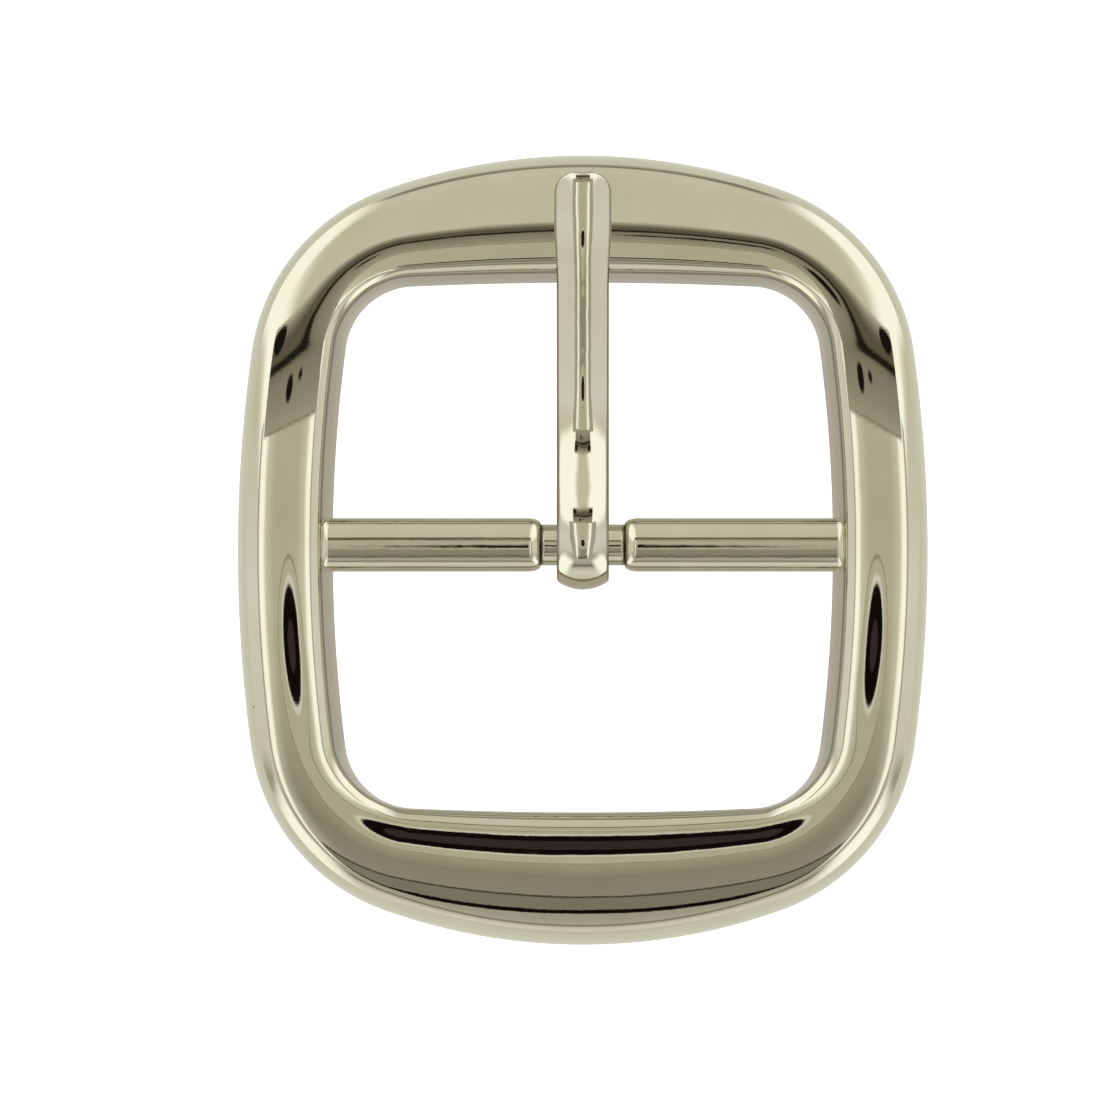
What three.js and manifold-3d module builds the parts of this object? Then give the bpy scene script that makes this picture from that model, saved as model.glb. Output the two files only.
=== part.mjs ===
// A centre-bar belt buckle: a bowed ring frame, a stepped bar across its middle, and a tongue that
// swings on the bar.
// Millimetres. X runs along the bar, +Y towards the end of the frame that the tongue rests on, and +Z
// is the front.
// The origin lies on the plane that the back rests on, under the middle of the frame.
import * as THREE from "three";
import { mergeVertices } from "three/addons/utils/BufferGeometryUtils.js";
import Module from "manifold-3d";

const wasm = await Module();
wasm.setup();

// ---- Frame: plan sizes ----
const openingWidth = 40; // clear width at the bar, which takes the strap
const openingHeight = 42.5; // clear height between the two end bars
const sideBarWidth = 7.5;
const upperBarWidth = 10.1;
const lowerBarWidth = 10.6;
const openingSideRadius = 128; // the opening's edges are long arcs that meet in rounded corners
const openingEndRadius = 300;
const openingCornerRadius = 5.6;
const outerSideRadius = 120;
const outerEndRadius = 47;
const outerCornerRadius = 16.2;

// ---- Frame: heights ----
const crownHeight = 7.2; // front of the side bars above the resting plane, beside the bar
const bowRadius = 228; // the front is bowed lengthwise
const archRise = 1.5; // the back is hollowed under the side bars
const archHalfLength = 22.5; // and flat beyond this distance from the middle

// ---- Frame: cross-section, an arc chain from the outer wall over the front to the opening ----
const backEdgeRadius = 1;
const outerWallRadius = 6;
const rimRadius = 1.55;
const faceRadius = 23.5; // on a side bar; the face of a wider bar is flatter in proportion
const crestShare = 0.435; // the crest's place across a bar, from the outer edge
const innerEdgeRadius = 1;
const rimFootTilt = THREE.MathUtils.degToRad(68); // where the outer wall turns into the rim
const creaseTilt = THREE.MathUtils.degToRad(65); // where the inner edge meets the drafted wall
const wallDraft = 0.85; // the opening is this much narrower a side at the back than at the crease
const backChamfer = 0.3;

// ---- Centre bar ----
const barRadius = 2.1;
const barCoreRadius = 1.6; // the bare neck for the tongue, and the end spigots
const neckLength = 6.7;
const shoulderRadius = 0.4;
const endEdgeRadius = 0.15;
const spigotLength = 2.6;
const seatClearance = 0.06; // round the spigot
const seatEndClearance = 0.3; // past the spigot's end
const bossFlare = 0.3; // the seat's boss is this much wider at the wall than the bar
const bossGap = 0.15; // between the boss and the bar's shoulder
const bossSetback = 0.15; // the boss stands this much inside the opening

// ---- Tongue ----
const eyeClearance = 0.1; // round the neck
const eyeThickness = 1.9;
const eyeWidth = 4.4;
const shankWidth = 4.2;
const tipWidth = 4.6;
const tipSetback = 1.75; // the tip stops this far inside the upper bar's outer edge
const eyeFloorGap = 0.4; // the eye clears the resting plane
const shankThickness = 1.7;
const tipThickness = 1.75;
const tipSpread = 9; // the tip widens over this length
const tipRounding = 1.8; // and ends in a round nose of this length
const noseEndShare = 0.12; // the nose's end is cut off at this share of the width
const noseLift = 0.3; // the share of the thickness lost at the nose that is taken from below
const dipLength = 7; // the shank dips behind the eye over this length
const dipDepth = 0.42;
const curlEnd = THREE.MathUtils.degToRad(20); // the strip's end stops this far past the level of the axis
const restGap = 0.3; // between the tongue and the upper bar
const stripBevel = 0.3; // along the strip's inner edges
const domeShare = 0.42; // the part of the thickness where the sides stand straight up
const domeFullness = 0.9; // below 1 the dome is fuller than an ellipse

// ---- Sizes that follow from these ----
const frameHalfHeight = (upperBarWidth + openingHeight + lowerBarWidth) / 2;
const frameMiddleY = (upperBarWidth - lowerBarWidth) / 2;
const eyeInside = barCoreRadius + eyeClearance;
const barAxisHeight = eyeFloorGap + eyeThickness + eyeInside;
const tongueReach = openingHeight / 2 + upperBarWidth - tipSetback;

// ---- Smoothness ----
const sideSteps = 10;
const endSteps = 12;
const cornerSteps = 10;
const roundSteps = 32;
const curlSteps = 16;
const shankSteps = 16;

// The points of an arc in the plane, without its last point when the next arc starts there.
function arc(cx, cy, radius, from, to, steps, withLast = false) {
  const points = [];
  for (let i = 0; i < steps + (withLast ? 1 : 0); i++) {
    const a = from + ((to - from) * i) / steps;
    points.push(new THREE.Vector2(cx + radius * Math.cos(a), cy + radius * Math.sin(a)));
  }
  return points;
}

// A closed outline of two long side arcs, two long end arcs and four corner arcs, all tangent and
// anticlockwise. Each outline has the same number of points on each arc, so two outlines pair up.
function barrelOutline(halfWidth, halfHeight, sideRadius, endRadius, cornerRadius, middleY) {
  const sideX = halfWidth - sideRadius;
  const endY = halfHeight - endRadius;
  // The corner's centre is (sideRadius - cornerRadius) from the side's centre and
  // (endRadius - cornerRadius) from the end's.
  const span = Math.hypot(sideX, endY);
  const a = sideRadius - cornerRadius;
  const b = endRadius - cornerRadius;
  const along = (a * a - b * b + span * span) / (2 * span);
  const across = Math.sqrt(a * a - along * along);
  const cornerX = sideX - (along * sideX + across * endY) / span;
  const cornerY = (along * endY - across * sideX) / span;
  const side = Math.atan2(cornerY, cornerX - sideX);
  const end = Math.atan2(cornerY - endY, cornerX);
  const half = Math.PI;
  const points = [
    ...arc(sideX, 0, sideRadius, -side, side, sideSteps),
    ...arc(cornerX, cornerY, cornerRadius, side, end, cornerSteps),
    ...arc(0, endY, endRadius, end, half - end, endSteps),
    ...arc(-cornerX, cornerY, cornerRadius, half - end, half - side, cornerSteps),
    ...arc(-sideX, 0, sideRadius, half - side, half + side, sideSteps),
    ...arc(-cornerX, -cornerY, cornerRadius, half + side, half + end, cornerSteps),
    ...arc(0, -endY, endRadius, half + end, 2 * half - end, endSteps),
    ...arc(cornerX, -cornerY, cornerRadius, 2 * half - end, 2 * half - side, cornerSteps),
  ];
  return points.map((p) => new THREE.Vector2(p.x, p.y + middleY));
}

const crestZ = (y) => crownHeight - (y * y) / (2 * bowRadius);
const backZ = (y) => archRise * Math.max(0, 1 - (y / archHalfLength) ** 2) ** 1.5;

// The frame's cross-section for a bar of this width, from the opening's foot round the back and over
// the front. d is the distance in from the outer edge, and a point holds either its drop below the
// crest or its rise above the back.
function frameSection(width) {
  const sin = Math.sin;
  const cos = Math.cos;
  const face = (faceRadius * width) / sideBarWidth;
  const crestD = crestShare * width;
  // The face leans outwards by rimTilt where it meets the rim, and inwards by innerTilt at the inner edge.
  const rimSpan = crestD - outerWallRadius * (1 - sin(rimFootTilt)) - rimRadius * sin(rimFootTilt);
  const rimTilt = Math.asin(rimSpan / (face - rimRadius));
  const innerSpan = width - wallDraft - crestD - innerEdgeRadius * sin(creaseTilt);
  const innerTilt = Math.asin(innerSpan / (face - innerEdgeRadius));
  // Each arc's centre, given as d and as a drop below the crest.
  const rimD = crestD - (face - rimRadius) * sin(rimTilt);
  const rimDrop = face - (face - rimRadius) * cos(rimTilt);
  const outerD = rimD + (outerWallRadius - rimRadius) * sin(rimFootTilt);
  const outerDrop = rimDrop + (outerWallRadius - rimRadius) * cos(rimFootTilt);
  const innerD = crestD + (face - innerEdgeRadius) * sin(innerTilt);
  const innerDrop = face - (face - innerEdgeRadius) * cos(innerTilt);
  const points = [{ d: width, rise: backChamfer }, { d: width - backChamfer, rise: 0 }];
  // A point on an arc whose outward direction leans by tilt from straight up, positive towards the opening.
  const front = (d, drop, radius, from, to, steps) => {
    for (let i = 0; i <= steps; i++) {
      const tilt = from + ((to - from) * i) / steps;
      points.push({ d: d + radius * sin(tilt), drop: drop - radius * cos(tilt) });
    }
  };
  for (const p of arc(backEdgeRadius, backEdgeRadius, backEdgeRadius, 1.5 * Math.PI, Math.PI, 3, true)) {
    points.push({ d: p.x, rise: p.y });
  }
  front(outerD, outerDrop, outerWallRadius, -Math.PI / 2, -rimFootTilt, 2);
  points.pop();
  front(rimD, rimDrop, rimRadius, -rimFootTilt, -rimTilt, 4);
  points.pop();
  front(crestD, face, face, -rimTilt, innerTilt, 5);
  points.pop();
  front(innerD, innerDrop, innerEdgeRadius, innerTilt, creaseTilt, 4);
  return points;
}

// A skin over a row of rings with equal point counts: a closed loop of rings, or a row with a flat cap
// at each end.
function skin(rings, isLoop) {
  const count = rings[0].length;
  const positions = rings.flat().flatMap((p) => [p.x, p.y, p.z]);
  const faces = [];
  const spans = isLoop ? rings.length : rings.length - 1;
  for (let i = 0; i < spans; i++) {
    const next = (i + 1) % rings.length;
    for (let j = 0; j < count; j++) {
      const k = (j + 1) % count;
      const a = i * count + j;
      const b = next * count + j;
      const c = next * count + k;
      const d = i * count + k;
      faces.push(a, b, c, a, c, d);
    }
  }
  if (!isLoop) {
    const last = (rings.length - 1) * count;
    for (let j = 1; j < count - 1; j++) {
      faces.push(0, j, j + 1);
      faces.push(last, last + j + 1, last + j);
    }
  }
  const geometry = new THREE.BufferGeometry();
  geometry.setAttribute("position", new THREE.Float32BufferAttribute(positions, 3));
  geometry.setIndex(faces);
  return geometry;
}

// A geometry as a manifold-3d solid, and back.
function toSolid(geometry) {
  const bare = geometry.clone();
  bare.deleteAttribute("normal");
  bare.deleteAttribute("uv");
  const merged = mergeVertices(bare, 1e-4);
  return new wasm.Manifold(new wasm.Mesh({
    numProp: 3,
    vertProperties: new Float32Array(merged.attributes.position.array),
    triVerts: new Uint32Array(merged.index.array),
  }));
}

function toGeometry(solid) {
  const mesh = solid.getMesh();
  const geometry = new THREE.BufferGeometry();
  geometry.setAttribute("position", new THREE.BufferAttribute(mesh.vertProperties, 3));
  geometry.setIndex(new THREE.BufferAttribute(mesh.triVerts, 1));
  return geometry;
}

// A round solid along X at the bar's height, from a profile of [radius, x] points that starts and ends
// on the axis.
function turnedAlongBar(profile) {
  const geometry = new THREE.LatheGeometry(profile.map(([r, x]) => new THREE.Vector2(r, x)), roundSteps);
  geometry.rotateZ(-Math.PI / 2);
  geometry.translate(0, 0, barAxisHeight);
  return geometry;
}

// The ring frame, with a boss and a blind seat for the bar in each side.
function frameGeometry() {
  const outer = barrelOutline(openingWidth / 2 + sideBarWidth, frameHalfHeight,
    outerSideRadius, outerEndRadius, outerCornerRadius, frameMiddleY);
  const inner = barrelOutline(openingWidth / 2, openingHeight / 2,
    openingSideRadius, openingEndRadius, openingCornerRadius, 0);
  const rings = outer.map((edge, i) => {
    const width = edge.distanceTo(inner[i]);
    return frameSection(width).map(({ d, drop, rise }) => {
      const p = edge.clone().lerp(inner[i], d / width);
      const z = rise === undefined ? crestZ(p.y) - drop : backZ(p.y) + rise;
      return new THREE.Vector3(p.x, p.y, z);
    });
  });
  let solid = toSolid(skin(rings, true));
  const bossX = openingWidth / 2 - bossSetback;
  const bossRoot = openingWidth / 2 + wallDraft;
  const seatEnd = openingWidth / 2 + spigotLength + seatEndClearance;
  const seatRadius = barCoreRadius + seatClearance;
  for (const side of [1, -1]) {
    const boss = [[0, bossRoot], [barRadius + bossFlare, bossRoot], [barRadius, bossX], [0, bossX]];
    const seat = [[0, seatEnd], [seatRadius, seatEnd], [seatRadius, bossX - 1], [0, bossX - 1]];
    const [bossSolid, seatSolid] = [boss, seat].map((profile) => {
      const geometry = turnedAlongBar(profile.map(([r, x]) => [r, x]).reverse());
      if (side < 0) geometry.rotateZ(Math.PI);
      return toSolid(geometry);
    });
    solid = solid.add(bossSolid).subtract(seatSolid);
  }
  return toGeometry(solid);
}

// The bar, with rounded shoulders at the neck and a spigot at each end.
function centreBarGeometry() {
  const neck = neckLength / 2;
  const shoulder = openingWidth / 2 - bossSetback - bossGap;
  const tip = openingWidth / 2 + spigotLength;
  const round = Math.min(shoulderRadius, barRadius - barCoreRadius);
  const half = [
    [barCoreRadius, neck],
    ...arc(neck + round, barRadius - round, round, Math.PI, Math.PI / 2, 4, true)
      .map((p) => [p.y, p.x]),
    ...arc(shoulder - endEdgeRadius, barRadius - endEdgeRadius, endEdgeRadius, Math.PI / 2, 0, 2, true)
      .map((p) => [p.y, p.x]),
    [barCoreRadius, shoulder],
    [barCoreRadius, tip - endEdgeRadius],
    [barCoreRadius - endEdgeRadius, tip],
    [0, tip],
  ];
  const mirrored = half.map(([r, x]) => [r, -x]).reverse();
  return turnedAlongBar([...mirrored, ...half]);
}

// A tongue cross-section: flat below, straight low sides, and a dome above. Across is X, and up is the
// strip's outside.
function tongueSection(width, thickness) {
  const half = width / 2;
  const wall = domeShare * thickness;
  const dome = [];
  const domeSteps = 8;
  for (let i = 0; i <= domeSteps; i++) {
    const a = (Math.PI * i) / domeSteps;
    dome.push([half * Math.cos(a), wall + (thickness - wall) * Math.sin(a) ** domeFullness]);
  }
  const bevel = Math.min(stripBevel, 0.3 * half); // less where the nose narrows
  return [[-half, bevel], [-half + bevel, 0], [half - bevel, 0], [half, bevel], ...dome];
}

// The tongue: a strip bent round the neck, a shank that dips behind the eye, and a spread, rounded tip.
function tongueGeometry() {
  const stations = [];
  // Round the neck, from the strip's cut end under the shank, past the bottom and the rear, up to the top.
  const turn = 1.5 * Math.PI + curlEnd;
  for (let i = 0; i < curlSteps; i++) {
    const a = curlEnd - (turn * i) / curlSteps;
    stations.push({
      y: eyeInside * Math.cos(a),
      z: eyeInside * Math.sin(a),
      outY: Math.cos(a),
      outZ: Math.sin(a),
      width: eyeWidth,
      thickness: eyeThickness,
    });
  }
  // Along the shank. Its underside ends restGap above the highest line of the upper bar.
  // The front is bowed, so that line lies a little nearer to the opening than the bar's own crest.
  const upperFace = (faceRadius * upperBarWidth) / sideBarWidth;
  const crestY = openingHeight / 2 + (1 - crestShare) * upperBarWidth;
  const bearingY = (crestY * bowRadius) / (bowRadius + upperFace);
  const bearingZ = crestZ(bearingY) - (crestY - bearingY) ** 2 / (2 * upperFace);
  const tipUnder = bearingZ + restGap - barAxisHeight;
  const smooth = THREE.MathUtils.smoothstep;
  const lerp = THREE.MathUtils.lerp;
  for (let i = 0; i <= shankSteps; i++) {
    // Steps close up towards the tip, so that the nose is round.
    const y = tongueReach * Math.sin((Math.PI / 2) * (i / shankSteps));
    const dip = dipDepth * smooth(y, 0, dipLength) * (1 - smooth(y, dipLength, bearingY));
    const under = lerp(eyeInside, tipUnder, smooth(y, 0, bearingY)) - dip;
    const spread = smooth(y, tongueReach - tipSpread, tongueReach - tipRounding * 1.5);
    const neckIn = smooth(y, 0, dipLength);
    const pastNose = Math.max(0, (y - tongueReach + tipRounding) / tipRounding);
    const nose = Math.sqrt(Math.max(0, 1 - pastNose ** 2));
    const width = lerp(lerp(eyeWidth, shankWidth, neckIn), tipWidth, spread);
    const thickness = lerp(lerp(eyeThickness, shankThickness, neckIn), tipThickness, spread);
    const bluntness = Math.max(nose, noseEndShare);
    stations.push({
      y,
      z: under + thickness * (1 - Math.sqrt(bluntness)) * noseLift,
      outY: 0,
      outZ: 1,
      width: width * bluntness,
      thickness: thickness * Math.sqrt(bluntness),
    });
  }
  const rings = stations.map((s) => tongueSection(s.width, s.thickness).map(([across, up]) =>
    new THREE.Vector3(across, s.y + up * s.outY, barAxisHeight + s.z + up * s.outZ)));
  return skin(rings, false);
}

const nickel = { color: 0xbdb899, roughness: 0.12, metalness: 1 };

function piece(name, geometry) {
  const mesh = new THREE.Mesh(geometry, new THREE.MeshStandardMaterial(nickel));
  mesh.name = name;
  return mesh;
}

const buckle = new THREE.Group();
buckle.add(piece("frame", frameGeometry()));
buckle.add(piece("centre_bar", centreBarGeometry()));
buckle.add(piece("tongue", tongueGeometry()));

export default buckle;
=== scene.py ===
import math

import bpy
import numpy as np
from bpy.props import FloatProperty, FloatVectorProperty, PointerProperty
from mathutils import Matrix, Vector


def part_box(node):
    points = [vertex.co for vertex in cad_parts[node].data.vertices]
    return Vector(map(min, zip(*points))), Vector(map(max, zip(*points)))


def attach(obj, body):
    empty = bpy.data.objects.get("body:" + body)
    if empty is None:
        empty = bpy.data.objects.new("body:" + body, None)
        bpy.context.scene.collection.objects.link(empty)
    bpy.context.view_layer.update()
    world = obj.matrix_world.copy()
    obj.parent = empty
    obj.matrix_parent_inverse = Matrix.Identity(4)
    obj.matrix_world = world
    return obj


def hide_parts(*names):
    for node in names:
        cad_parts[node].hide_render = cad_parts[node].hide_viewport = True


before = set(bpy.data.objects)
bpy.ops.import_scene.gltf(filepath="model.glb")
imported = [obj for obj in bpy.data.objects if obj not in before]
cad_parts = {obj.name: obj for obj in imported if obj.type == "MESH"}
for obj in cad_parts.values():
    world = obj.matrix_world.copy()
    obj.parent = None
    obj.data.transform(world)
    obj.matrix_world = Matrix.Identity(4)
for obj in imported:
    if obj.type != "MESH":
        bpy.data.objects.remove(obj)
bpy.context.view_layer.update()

bl_info = {
    "name": "Centre-bar belt buckle",
    "version": (1, 0, 0),
    "blender": (4, 5, 0),
    "location": "View3D > Sidebar > Buckle",
    "description": "Makes a polished nickel belt buckle: a bowed ring, a centre bar and a swinging tongue",
    "category": "Object",
}

MM = 0.001
FRAME_LOW, FRAME_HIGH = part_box("frame")
BAR_LOW, BAR_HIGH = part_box("centre_bar")
TONGUE_LOW, TONGUE_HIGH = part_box("tongue")


# ---------- Sizes and colours that a user would change ----------

def linear(code):
    """An sRGB hex code as three linear numbers."""
    parts = np.array([int(code[i:i + 2], 16) for i in (1, 3, 5)]) / 255
    return tuple(np.where(parts <= 0.04045, parts / 12.92, ((parts + 0.055) / 1.055) ** 2.4).tolist())


def length(name, description, default):
    """A length property whose default is given in millimetres."""
    return FloatProperty(name=name, description=description, default=default * MM, unit="LENGTH", precision=5)


def angle(name, description, default):
    """An angle property whose default is given in degrees."""
    return FloatProperty(name=name, description=description, default=math.radians(default), unit="ROTATION")


def colour(name, description, code):
    """A colour property whose default is an sRGB hex code."""
    return FloatVectorProperty(
        name=name, description=description, default=linear(code), subtype="COLOR", size=3, min=0, max=1
    )


class BuckleFrameSizes(bpy.types.PropertyGroup):
    opening_width: length("Opening width", "Clear width beside the bar, which takes the strap", 40)
    opening_height: length("Opening height", "Clear height between the two end bars", 42.5)
    side_width: length("Side bar width", "Width of the two side bars at the middle", 7.5)
    upper_width: length("Upper bar width", "Width of the end bar that the tongue rests on", 10.1)
    lower_width: length("Lower bar width", "Width of the other end bar", 10.6)
    opening_side_radius: length("Opening side radius", "Radius of the opening's long sides", 128)
    opening_end_radius: length("Opening end radius", "Radius of the opening's two ends", 300)
    opening_corner_radius: length("Opening corner radius", "Radius of the opening's corners", 5.6)
    outer_side_radius: length("Outer side radius", "Radius of the outer long sides", 120)
    outer_end_radius: length("Outer end radius", "Radius of the outer ends", 47)
    outer_corner_radius: length("Outer corner radius", "Radius of the outer corners", 16.2)
    crown: length("Crown height", "Height of the front beside the bar", FRAME_HIGH.z / MM)
    bow_radius: length("Bow radius", "Radius of the lengthwise bow of the front", 228)
    arch_rise: length("Arch rise", "Depth of the hollow under the side bars", 1.5)
    arch_half_length: length("Arch half length", "Distance from the middle to the back's flat lands", 22.5)
    crest_share: FloatProperty(
        name="Crest place", description="Place of the crest across a bar, from the outer edge", default=0.435,
        subtype="FACTOR", min=0.1, max=0.9,
    )
    face_radius: length("Face radius", "Radius across the front of a side bar", 23.5)
    rim_radius: length("Rim radius", "Radius between the front and the outer wall", 1.55)
    wall_radius: length("Outer wall radius", "Radius of the barrelled outer wall", 6)
    inner_radius: length("Inner edge radius", "Radius of the front's inner edge on a side bar", 1.0)
    crease_radius: length("Crease radius", "Radius where the inner edge meets the drafted wall", 0.12)
    back_edge_radius: length("Back edge radius", "Radius of the outer edge of the back", 1.0)
    foot_radius: length("Foot radius", "Radius of the opening's edge at the back", 0.3)
    draft: length("Wall draft", "How much wider a side the opening is at the crease than at the back", 0.85)
    lower_draft: length("Lower wall draft", "The same at the lower bar, whose wall is steeper", 0.2)
    upper_draft: length("Upper wall draft", "The same at the upper bar", 0.5)
    rim_tilt: angle("Rim tilt", "Lean of the surface where the rim meets the outer wall", 68)
    crease_tilt: angle("Crease tilt", "Lean of the inner edge where it meets the wall", 65)


class BuckleBarSizes(bpy.types.PropertyGroup):
    axis_height: length("Axis height", "Height of the bar's middle line", (BAR_LOW.z + BAR_HIGH.z) / 2 / MM)
    half_width: length("Bar half width", "Half of the bar's width across the strap", 2.1)
    half_depth: length("Bar half depth", "Half of the bar's depth", 2.0)
    front_radius: length("Bar front radius", "Radius of the bar's flattened front", 4.7)
    neck_half_width: length("Neck half width", "Half width of the neck that the tongue turns on", 1.63)
    neck_half_depth: length("Neck half depth", "Half depth of the neck", 1.35)
    neck_front_radius: length("Neck front radius", "Radius of the neck's flattened front", 2.9)
    neck_half_length: length("Neck half length", "Half of the bare neck's length", 3.35)
    shoulder_length: length("Shoulder length", "How far the shoulder's rounding reaches along the bar", 1.0)
    shoulder_depth: length("Shoulder depth", "How far the shoulder's rounding reaches down", 0.46)
    fillet_radius: length("End fillet radius", "Radius of the fillet between the bar and the frame", 0.5)


class BuckleTongueSizes(bpy.types.PropertyGroup):
    reach: length("Reach", "Distance from the bar's middle to the tip", TONGUE_HIGH.y / MM)
    eye_inside: length("Eye inside radius", "Radius inside the eye, with its clearance on the neck", 1.7)
    eye_back: length("Eye back", "Distance from the axis to the back of the eye", 3.55)
    eye_height: length("Eye height", "Distance from the axis to the eye's top and bottom", 3.6)
    eye_width: length("Eye width", "Width of the eye", 4.15)
    shank_width: length("Shank width", "Width of the shank", 4.15)
    tip_width: length("Tip width", "Width of the tip at its widest", 4.55)
    shank_thickness: length("Shank thickness", "Thickness of the shank", 1.7)
    tip_thickness: length("Tip thickness", "Thickness of the tip", 1.8)
    nose_length: length("Nose length", "Length of the tip's round nose", 1.65)
    edge_radius: length("Edge radius", "Radius of the long edges", 0.4)
    curl_end: angle("Curl end", "Angle above the level at which the bent strip ends under the shank", 20)


class BuckleFinish(bpy.types.PropertyGroup):
    nickel: colour("Nickel", "Colour of the bright nickel plate", "#DEDAC5")
    tarnish: colour("Tarnish", "Colour of the faint warm film in the plate", "#CFC8A8")
    # The dark colour of the plating's pinhole specks. It also paints shade in the frame's crease and at the
    # bar's shoulders, and darkens the tongue's sides.
    specks_and_painted_shade: colour("Specks and painted shade", "Colour of the specks and of the line in the crease", "#3E392B")


class BuckleStage(bpy.types.PropertyGroup):
    distance: length("Camera distance", "Distance from the camera to the buckle", 600)
    tilt: angle("Camera tilt", "How far the camera stands towards the lower end", 2.65)
    floor: colour("Floor", "Colour of the plain floor", "#F4F4F2")


# ---------- Meshes from grids of points ----------

def grid_faces(rows, columns, wrap_rows):
    """The quads between the points of a grid whose columns close on themselves, and whose rows may."""
    i = np.arange(rows if wrap_rows else rows - 1)[:, None]
    j = np.arange(columns)[None, :]
    i2 = (i + 1) % rows
    j2 = (j + 1) % columns
    corners = np.stack(np.broadcast_arrays(i * columns + j, i2 * columns + j, i2 * columns + j2,
                                           i * columns + j2), axis=-1)
    return corners.reshape(-1, 4)


def outward(points, faces):
    """The faces turned so that the volume they enclose is positive."""
    a, b, c, d = (points[faces[:, k]] for k in range(4))
    volume = (np.cross(b - a, c - a) * a).sum() + (np.cross(c - a, d - a) * a).sum()
    return faces if volume > 0 else faces[:, ::-1]


def make_piece(name, shells, body, node, material):
    """One object from closed shells. A shell is (grid, wraps, darkening): points in millimetres as rows by
    columns by 3, whether the rows close on themselves, and how far it is darkened, from 0 to 1: painted shade
    in the frame's crease and at the bar's shoulders, and darker sides on the tongue."""
    points = []
    tarnish = []
    faces = []
    start = 0
    for grid, wrap_rows, darkening in shells:
        rows, columns = grid.shape[:2]
        flat = grid.reshape(-1, 3) * MM
        quads = grid_faces(rows, columns, wrap_rows)
        turned = outward(flat - flat.mean(axis=0), quads)
        faces += (turned + start).tolist()
        if not wrap_rows:
            first = np.arange(columns)
            last = first + (rows - 1) * columns
            way = 1 if turned is quads else -1
            faces += [(end[::way] + start).tolist() for end in (first, last[::-1])]
        points.append(flat)
        tarnish.append(np.broadcast_to(darkening, (rows, columns)).ravel())
        start += len(flat)
    mesh = bpy.data.meshes.new(name)
    mesh.from_pydata(np.concatenate(points).tolist(), [], faces)
    mesh.polygons.foreach_set("use_smooth", np.ones(len(mesh.polygons), bool))
    # The darkening share of each point: painted shade in the crease and at the shoulders, and darker tongue
    # sides.
    mesh.attributes.new("tarnish", "FLOAT", "POINT").data.foreach_set("value", np.concatenate(tarnish))
    mesh.materials.append(material)
    piece = bpy.data.objects.new(name, mesh)
    bpy.context.scene.collection.objects.link(piece)
    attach(piece, body)
    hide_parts(node)
    return piece


def soft_step(value, low, high):
    """A smooth step from 0 to 1 between low and high."""
    t = np.clip((value - low) / (high - low), 0, 1)
    return t * t * (3 - 2 * t)


def sizes_in_mm(group):
    """A property group's values by name, with lengths in millimetres and the rest as they are."""
    values = {}
    for name, prop in group.bl_rna.properties.items():
        if prop.type == "FLOAT" and not prop.is_array:
            value = getattr(group, name)
            values[name] = value / MM if prop.unit == "LENGTH" else value
    return type("Sizes", (), values)


# ---------- The ring frame ----------

SIDE_STEPS = 70
CORNER_STEPS = 56
END_STEPS = 90
EDGE_GROWTH = 1.3  # the inner edge's radius grows with this power of the bar's width
WALL_TILT = math.radians(81)  # how steeply the drafted wall starts at the crease
WALL_SHARES = (0.08, 0.18, 0.5)  # where the wall's columns lie, from the crease to the foot
CREASE_SHADE = (0.1, 0.7, 0.9, 0.9, 0.9, 0.7, 0.05, 0)  # painted shade: the dark line along the crease, from the inner edge down the wall


def barrel_outline(half_width, half_height, side_radius, end_radius, corner_radius, middle_y):
    """A closed outline of two long side arcs, two long end arcs and four corner arcs, each tangent to the
    next. A corner's centre lies (side radius - corner radius) from the side's centre and (end radius -
    corner radius) from the end's centre."""
    side_x = half_width - side_radius
    end_y = half_height - end_radius
    span = math.hypot(side_x, end_y)
    a = side_radius - corner_radius
    b = end_radius - corner_radius
    along = (a * a - b * b + span * span) / (2 * span)
    across = math.sqrt(a * a - along * along)
    x = side_x - (along * side_x + across * end_y) / span
    y = (along * end_y - across * side_x) / span
    side = math.atan2(y, x - side_x)
    end = math.atan2(y - end_y, x)
    half = math.pi
    arcs = [
        (side_x, 0, side_radius, -side, side, SIDE_STEPS),
        (x, y, corner_radius, side, end, CORNER_STEPS),
        (0, end_y, end_radius, end, half - end, END_STEPS),
        (-x, y, corner_radius, half - end, half - side, CORNER_STEPS),
        (-side_x, 0, side_radius, half - side, half + side, SIDE_STEPS),
        (-x, -y, corner_radius, half + side, half + end, CORNER_STEPS),
        (0, -end_y, end_radius, half + end, 2 * half - end, END_STEPS),
        (x, -y, corner_radius, 2 * half - end, 2 * half - side, CORNER_STEPS),
    ]
    points = []
    for cx, cy, radius, start, stop, steps in arcs:
        turn = np.linspace(start, stop, steps, endpoint=False)
        points.append(np.stack([cx + radius * np.cos(turn), cy + radius * np.sin(turn)], axis=-1))
    return np.concatenate(points) + [0, middle_y]


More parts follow.
